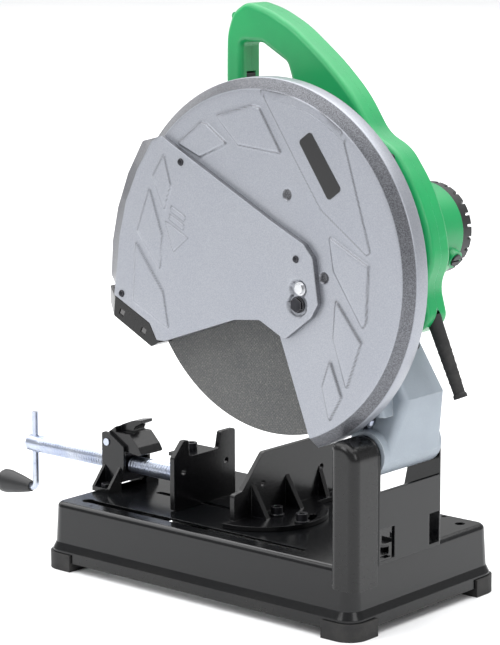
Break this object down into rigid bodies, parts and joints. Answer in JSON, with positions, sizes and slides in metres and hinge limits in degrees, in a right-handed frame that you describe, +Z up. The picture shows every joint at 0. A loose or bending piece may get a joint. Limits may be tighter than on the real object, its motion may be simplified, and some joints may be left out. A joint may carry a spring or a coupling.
{
  "type": "abrasive chop saw",
  "caption": "Bench-top abrasive cut-off saw: swinging guarded wheel and motor on a pressed steel base with a swivelling screw vise.",
  "frame": {"origin": "bench plane under the middle of the pressed base", "axes": "+Z up, +Y towards the hinge at the rear, -Y towards the vise crank and the operator, +X towards the wheel's open side, motor on -X"},
  "size_m": [0.261, 0.6845, 0.6325],
  "materials": {
    "base_black": "satin",
    "foot_rubber": "matt",
    "zinc": "zinc plated",
    "dark_steel": "blackened",
    "bright_steel": "ground",
    "silver_paint": "metallic paint",
    "arm_grey": "metallic paint on a casting",
    "housing_green": "moulded, fine grain",
    "black_plastic": "moulded",
    "wheel_abrasive": "resin-bonded grit with glass mesh",
    "copper": "enamelled wire",
    "lamination": "stacked sheet",
    "carbon": "graphite"
  },
  "bodies": {
    "base": {"base_pan": "base_black", "rubber_feet": "foot_rubber", "base_screws": "zinc", "hinge_bracket": "base_black", "base_bolts": "zinc", "hinge_pin": "bright_steel", "pin_retainers": "zinc", "return_spring": "dark_steel", "spark_hood": "base_black", "nut_bracket": "base_black", "nut_block": "bright_steel", "lever_pin": "dark_steel", "fence_bolts": "dark_steel"},
    "head": {"arm_casting": "arm_grey", "gear_cover": "arm_grey", "casting_screws": "zinc", "main_guard": "silver_paint", "name_plate": "base_black", "cover_pivot_bolt": "dark_steel", "cover_slot_screw": "zinc", "motor_housing": "housing_green", "stator": "lamination", "field_coils": "copper", "tail_cover": "black_plastic", "brush_caps": "black_plastic", "carbon_brushes": "carbon", "handle_near_half": "housing_green", "handle_far_half": "housing_green", "housing_screws": "zinc", "trigger_pin": "bright_steel", "switch_body": "black_plastic", "cord_armour": "foot_rubber", "stop_bolt": "zinc", "bearings": "bright_steel"},
    "wheel_spindle": {"spindle": "bright_steel", "gear_wheel": "bright_steel", "inner_flange": "zinc", "outer_flange": "zinc", "abrasive_wheel": "wheel_abrasive", "arbor_bolt": "dark_steel"},
    "armature": {"armature_shaft": "bright_steel", "armature_core": "lamination", "armature_windings": "copper", "commutator": "copper", "cooling_fan": "black_plastic"},
    "cover": {"side_cover": "silver_paint", "cover_rivets": "zinc", "spark_deflector": "base_black"},
    "trigger": {"trigger": "black_plastic"},
    "lock_button": {"lock_button": "black_plastic"},
    "fence": {"fence": "base_black"},
    "jaw_carriage": {"thrust_block": "dark_steel", "jaw_bolts": "dark_steel"},
    "jaw": {"movable_jaw": "base_black"},
    "screw": {"vise_screw": "zinc", "screw_pins": "dark_steel", "crank_rod": "zinc", "knob_retainer": "zinc"},
    "knob": {"crank_knob": "black_plastic"},
    "lever": {"release_lever": "base_black"}
  },
  "joints": [
    {"name": "head_swing", "type": "hinge", "parent": "base", "child": "head", "pos_m": [0.035, 0.203, 0.187], "axis": [1, 0, 0], "range_deg": [0, 42.5], "stiffness_Nm_per_rad": 22, "springref_deg": -71.62},
    {"name": "wheel_spin", "type": "hinge", "parent": "head", "child": "wheel_spindle", "pos_m": [0.0935, 0.0895, 0.3716], "axis": [1, 0, 0], "continuous": true},
    {"name": "armature_spin", "type": "hinge", "parent": "head", "child": "armature", "pos_m": [-0.04, 0.1324, 0.38954], "axis": [1, 0, 0], "continuous": true},
    {"name": "cover_lift", "type": "hinge", "parent": "head", "child": "cover", "pos_m": [0.12, 0.1435, 0.3396], "axis": [-1, 0, 0], "range_deg": [0, 12]},
    {"name": "trigger_pull", "type": "hinge", "parent": "head", "child": "trigger", "pos_m": [0.02, -0.0135, 0.556], "axis": [-1, 0, 0], "range_deg": [0, 7], "stiffness_Nm_per_rad": 0.4, "springref_deg": -14.32},
    {"name": "lock_press", "type": "slide", "parent": "head", "child": "lock_button", "axis": [1, 0, 0], "range_m": [0, 0.003], "stiffness_N_per_m": 300, "springref_m": -0.004},
    {"name": "fence_swivel", "type": "hinge", "parent": "base", "child": "fence", "pos_m": [0.019, 0.03, 0.078], "axis": [0, 0, -1], "range_deg": [0, 45]},
    {"name": "jaw_slide", "type": "slide", "parent": "base", "child": "jaw_carriage", "axis": [0, -1, 0], "range_m": [-0.08, 0.024]},
    {"name": "jaw_swivel", "type": "hinge", "parent": "jaw_carriage", "child": "jaw", "pos_m": [0.016, -0.097, 0.1], "axis": [0, 0, -1], "range_deg": [0, 45]},
    {"name": "screw_spin", "type": "hinge", "parent": "jaw_carriage", "child": "screw", "pos_m": [0.016, -0.2, 0.102], "axis": [0, -1, 0], "continuous": true},
    {"name": "knob_spin", "type": "hinge", "parent": "screw", "child": "knob", "pos_m": [0.016, -0.38, 0.048], "axis": [0, 1, 0], "continuous": true},
    {"name": "lever_release", "type": "hinge", "parent": "base", "child": "lever", "pos_m": [0.016, -0.207, 0.129], "axis": [1, 0, 0], "range_deg": [0, 55]}
  ],
  "couplings": [
    {"joint": "armature_spin", "follows": "wheel_spin", "ratio": -5.2},
    {"joint": "cover_lift", "follows": "head_swing", "ratio": 0.26},
    {"joint": "screw_spin", "follows": "jaw_slide", "rad_per_m": 1570.8}
  ]
}
